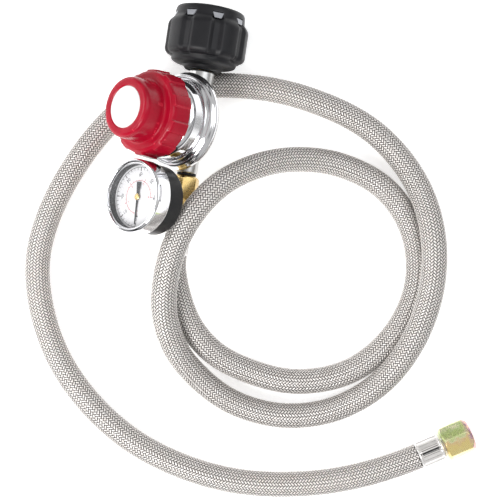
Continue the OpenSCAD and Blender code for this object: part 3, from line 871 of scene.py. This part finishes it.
def arc(r0, r1, start, sweep):
    """A printed band round the dial's middle, turning clockwise from the start."""
    count = 90
    angle = rad(start) - rad(sweep) * np.arange(count + 1) / count
    verts = [(r * math.cos(a), r * math.sin(a), DIAL_TOP) for a in angle for r in (r0, r1)]
    return verts, [(2 * i, 2 * i + 2, 2 * i + 3, 2 * i + 1) for i in range(count)]


def digits(text, size, at_r, angle):
    """Printed digits whose middle is at a radius and an angle of the dial, upright on the dial."""
    font = bpy.data.curves.new("digits", "FONT")
    font.body = text
    font.size = size
    font.align_x = "CENTER"
    font.align_y = "CENTER"
    font.resolution_u = 3
    holder = bpy.data.objects.new("digits", font)
    bpy.context.scene.collection.objects.link(holder)
    bpy.context.view_layer.update()
    mesh = bpy.data.meshes.new_from_object(holder)
    c, s = math.cos(UPRIGHT), math.sin(UPRIGHT)
    x0, y0 = at_r * math.cos(rad(angle)), at_r * math.sin(rad(angle))
    verts = [(x0 + v.co.x * c - v.co.y * s, y0 + v.co.x * s + v.co.y * c, DIAL_TOP)
             for v in mesh.vertices]
    faces = [tuple(p.vertices) for p in mesh.polygons]
    bpy.data.objects.remove(holder)
    bpy.data.curves.remove(font)
    bpy.data.meshes.remove(mesh)
    return verts, faces


black_print, red_print = [], []
for i in range(BLACK_STEPS + 1):
    angle = ZERO - SWEEP * i / BLACK_STEPS
    major = i % MAJOR_EVERY == 0
    black_print.append(mark(15.2 if major else 16.0, 17.5, angle, 0.5 if major else 0.26))
    if major:
        black_print.append(digits(str(i * 2), 3.0, 13.1, angle))
black_print.append(arc(17.4, 17.65, ZERO, SWEEP))
for i in range(RED_STEPS + 1):
    angle = ZERO - SWEEP * i / RED_STEPS
    major = i % MAJOR_EVERY == 0
    red_print.append(mark(9.6, 11.1 if major else 10.5, angle, 0.36 if major else 0.2))
    if major:
        red_print.append(digits(str(i // MAJOR_EVERY), 2.4, 8.1, angle))
red_print.append(arc(9.5, 9.75, ZERO, SWEEP))
for name, parts, ink in (("dial_print_black", black_print, INK),
                         ("dial_print_red", red_print, RED_INK)):
    add_piece(name, parts, GAUGE, ink, "regulator", merge=False)

hub = rounded([(0, 39.16), (1.9, 39.16, 0.1), (1.9, 39.5, 0.15), (1.2, 39.9, 0.2), (0, 39.9)])
add_piece("pointer_hub_cap", [lathe(hub, 48)], GAUGE, BRASS, "pointer", ["pointer_hub"])


# ---------------------------------------------------------------- hose end
# a thin black sleeve inside the end ferrule: painted shade that shows as a black line through the crimp's
# split
seam_shade_sleeve = [(6.9, 2.6), (6.9, 13.4), (7.0, 13.4), (7.0, 2.6)]
add_piece("ferrule_seam_shade", [lathe(seam_shade_sleeve, 96, closed=True)], HOSE_END, RUBBER,
          "regulator", sharp=60)
end_ferrule = add_piece("end_ferrule_crimped", [ferrule(0, 16.1)], HOSE_END, STEEL, "regulator",
                        ["end_ferrule"], sharp=40)
FLARE_AF = 19.0
FLARE_ROLL = rad(36)
FLARE_PITCH = 1.41
FLARE_THREAD_R = 7.2
FLARE_THREAD_DEPTH = 0.5


def flare_hex(a, r, z):
    """The nut's hex, and the thread in its bore."""
    r = np.minimum(r, flats(a, 6, FLARE_AF, FLARE_ROLL))
    turn = (z / FLARE_PITCH - a / TAU) % 1
    cut = smooth_step(np.abs(turn - 0.5) * 2, 0.2, 0.8) * smooth_step(z, 26.2, 27.2) \
        * (1 - smooth_step(z, 33.4, 34.4))
    inside = np.abs(r - FLARE_THREAD_R) < 0.02
    return np.where(inside, r + FLARE_THREAD_DEPTH * cut, r), z


flare = dense(rounded([
    (4.97, 21.5, 0), (4.97, 17.3, 0), (8.6, 17.3, 0.3), (9.4, 17.45, 0.4), (10.9, 18.5, 0.2),
    (10.9, 32.4, 0.2), (8.9, 35.2, 0.3), (8.1, 35.3, 0.1), (FLARE_THREAD_R, 34.5, 0.0),
    (FLARE_THREAD_R, 25.8, 0),
    (7.7, 25.7, 0), (7.7, 23.9, 0), (4.97, 21.5, 0)], steps=3), 0.4)
flare_nut = add_piece("flare_nut_hex", [lathe(flare, 144, flare_hex)], HOSE_END, ZINC,
                      "flare_swivel", ["flare_nut"], sharp=24)

tuple(c * MM for c in ROUTE[0])
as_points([tuple(p * MM) for p in LINE.p[::4]] + [tuple(LINE.p[-1] * MM)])
